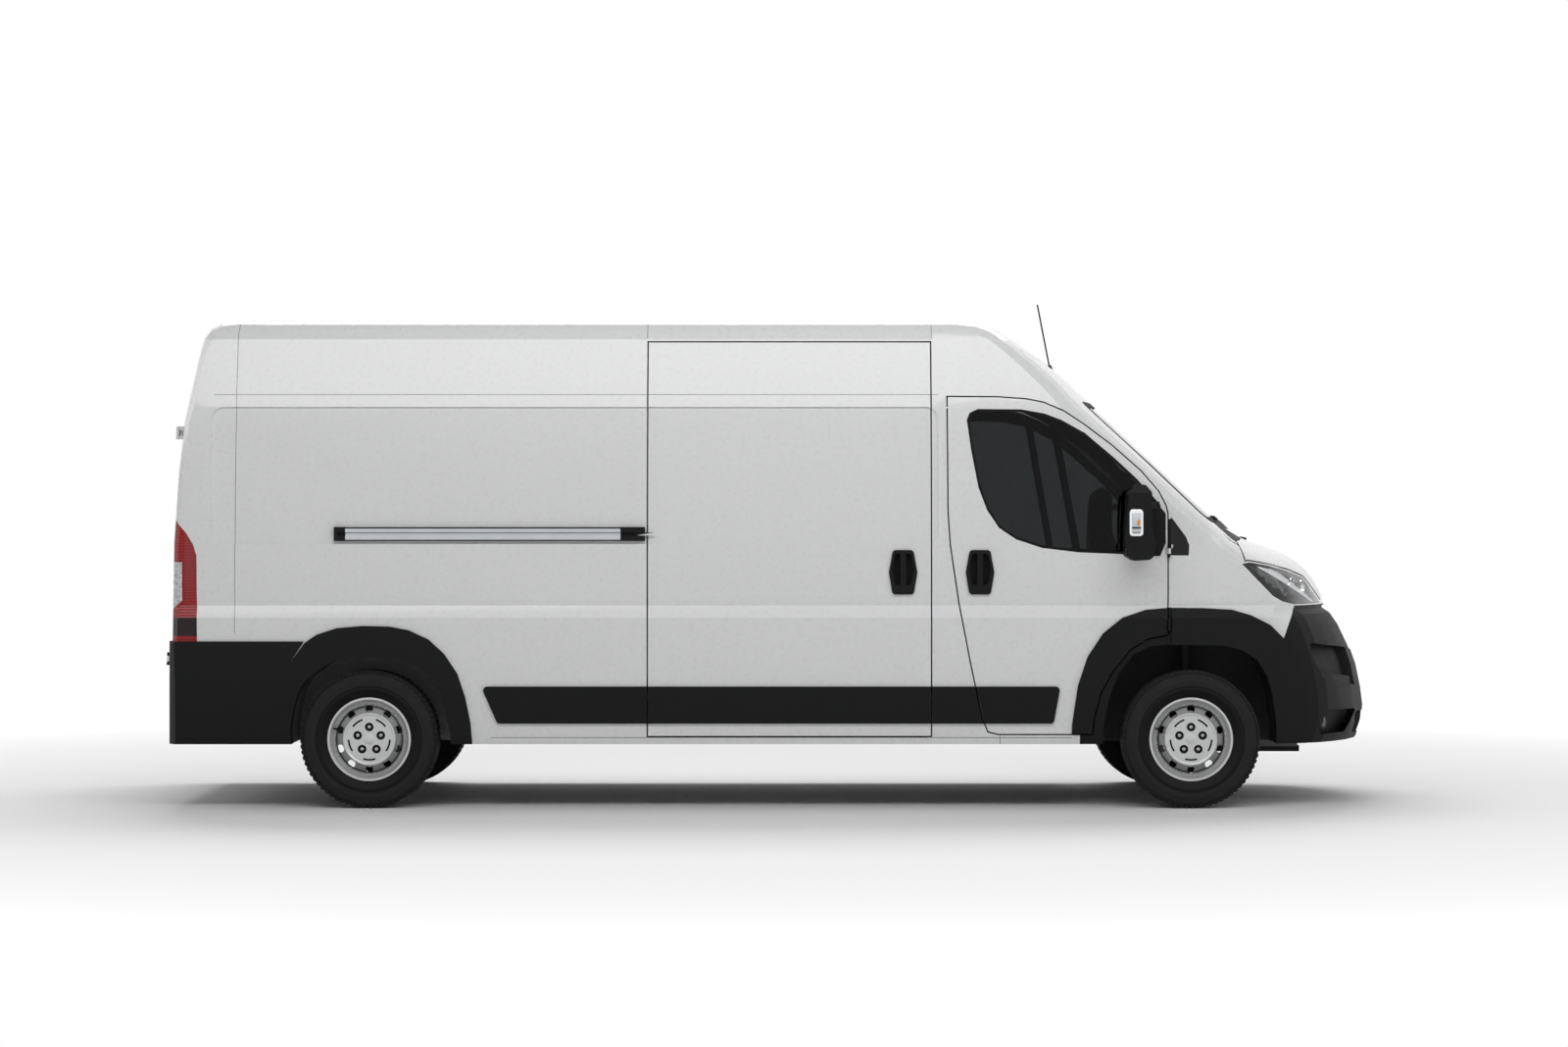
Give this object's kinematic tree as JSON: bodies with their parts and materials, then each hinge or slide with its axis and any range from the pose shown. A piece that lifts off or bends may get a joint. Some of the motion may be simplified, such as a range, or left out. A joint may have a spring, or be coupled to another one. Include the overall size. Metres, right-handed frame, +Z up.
{
  "type": "panel van",
  "caption": "Long-wheelbase, high-roof panel van with hinged cab and tail doors, side sliding door, bonnet and steered front wheels.",
  "frame": {"origin": "on the ground at the middle of the overall box", "axes": "+X points forward along the van, +Y to its left, +Z up"},
  "size_m": [6.0151, 2.49, 2.5258],
  "materials": {
    "paint": "gloss",
    "trim": "grained",
    "glass": "tinted",
    "pane": "gloss",
    "lens": "clear over reflectors",
    "tail_lens": "gloss",
    "rail": "brushed",
    "floor_steel": "satin",
    "chassis": "satin",
    "engine": "cast",
    "cabin": "grained",
    "seat": "woven",
    "rubber": "matte",
    "rim": "silver satin",
    "tyre": "matte"
  },
  "bodies": {
    "van": {"aerial": "trim", "bulkhead": "floor_steel", "bumper_front": "trim", "bumper_rear": "trim", "cab_shell": "paint", "corner_pane_left": "pane", "corner_pane_right": "pane", "dashboard": "cabin", "driver_seat": "seat", "engine_block": "engine", "exhaust": "chassis", "floor": "floor_steel", "front_house_left": "trim", "front_house_right": "trim", "front_subframe": "chassis", "fuel_tank": "chassis", "headlamp_left": "lens", "headlamp_right": "lens", "load_roof": "paint", "load_side_left": "paint", "load_side_right": "paint", "passenger_seat": "seat", "rear_axle": "chassis", "rear_house_left": "floor_steel", "rear_house_right": "floor_steel", "scuttle": "trim", "slide_rail": "rail", "sliding_door": "paint", "spare_wheel": "rubber", "steering_wheel": "cabin", "tail_lamp_left": "tail_lens", "tail_lamp_right": "tail_lens", "underframe": "chassis", "windscreen": "glass", "wing_left": "paint", "wing_right": "paint"},
    "cab_door_right": {"front_door_right": "paint", "front_glass_right": "glass", "mirror_right": "trim"},
    "tail_door_right": {"rear_door_right": "paint"},
    "hub_right": {"knuckle_right": "chassis"},
    "wheel_front_right": {"rim_front_right": "rim", "tyre_front_right": "tyre"},
    "wheel_rear_right": {"rim_rear_right": "rim", "tyre_rear_right": "tyre"},
    "cab_door_left": {"front_door_left": "paint", "front_glass_left": "glass", "mirror_left": "trim"},
    "tail_door_left": {"rear_door_left": "paint"},
    "hub_left": {"knuckle_left": "chassis"},
    "wheel_front_left": {"rim_front_left": "rim", "tyre_front_left": "tyre"},
    "wheel_rear_left": {"rim_rear_left": "rim", "tyre_rear_left": "tyre"},
    "hood": {"bonnet": "paint"}
  },
  "joints": [
    {"name": "cab_door_right_hinge", "type": "hinge", "parent": "van", "child": "cab_door_right", "pos_m": [1.927, -1.012, 1.08], "axis": [0, 0, 1], "range_deg": [0, 70]},
    {"name": "tail_door_right_hinge", "type": "hinge", "parent": "van", "child": "tail_door_right", "pos_m": [-2.996, -0.875, 0.73], "axis": [0.034, 0.0448, 0.9984], "range_deg": [0, 180]},
    {"name": "steer_right", "type": "hinge", "parent": "van", "child": "hub_right", "pos_m": [2.037, -0.86, 0.338], "axis": [0, 0, 1], "range_deg": [-35, 35]},
    {"name": "wheel_front_right_spin", "type": "hinge", "parent": "hub_right", "child": "wheel_front_right", "pos_m": [2.037, -0.905, 0.338], "axis": [0, 1, 0], "continuous": true},
    {"name": "wheel_rear_right_spin", "type": "hinge", "parent": "van", "child": "wheel_rear_right", "pos_m": [-1.998, -0.895, 0.338], "axis": [0, 1, 0], "continuous": true},
    {"name": "cab_door_left_hinge", "type": "hinge", "parent": "van", "child": "cab_door_left", "pos_m": [1.927, 1.012, 1.08], "axis": [0, 0, -1], "range_deg": [0, 70]},
    {"name": "tail_door_left_hinge", "type": "hinge", "parent": "van", "child": "tail_door_left", "pos_m": [-2.996, 0.875, 0.73], "axis": [-0.034, 0.0448, -0.9984], "range_deg": [0, 180]},
    {"name": "steer_left", "type": "hinge", "parent": "van", "child": "hub_left", "pos_m": [2.037, 0.86, 0.338], "axis": [0, 0, 1], "range_deg": [-35, 35]},
    {"name": "wheel_front_left_spin", "type": "hinge", "parent": "hub_left", "child": "wheel_front_left", "pos_m": [2.037, 0.905, 0.338], "axis": [0, 1, 0], "continuous": true},
    {"name": "wheel_rear_left_spin", "type": "hinge", "parent": "van", "child": "wheel_rear_left", "pos_m": [-1.998, 0.895, 0.338], "axis": [0, 1, 0], "continuous": true},
    {"name": "bonnet_hinge", "type": "hinge", "parent": "van", "child": "hood", "pos_m": [2.212, 0, 1.308], "axis": [0, -1, 0], "range_deg": [0, 50]}
  ],
  "couplings": [
    {"joint": "steer_left", "follows": "steer_right", "ratio": 1}
  ]
}
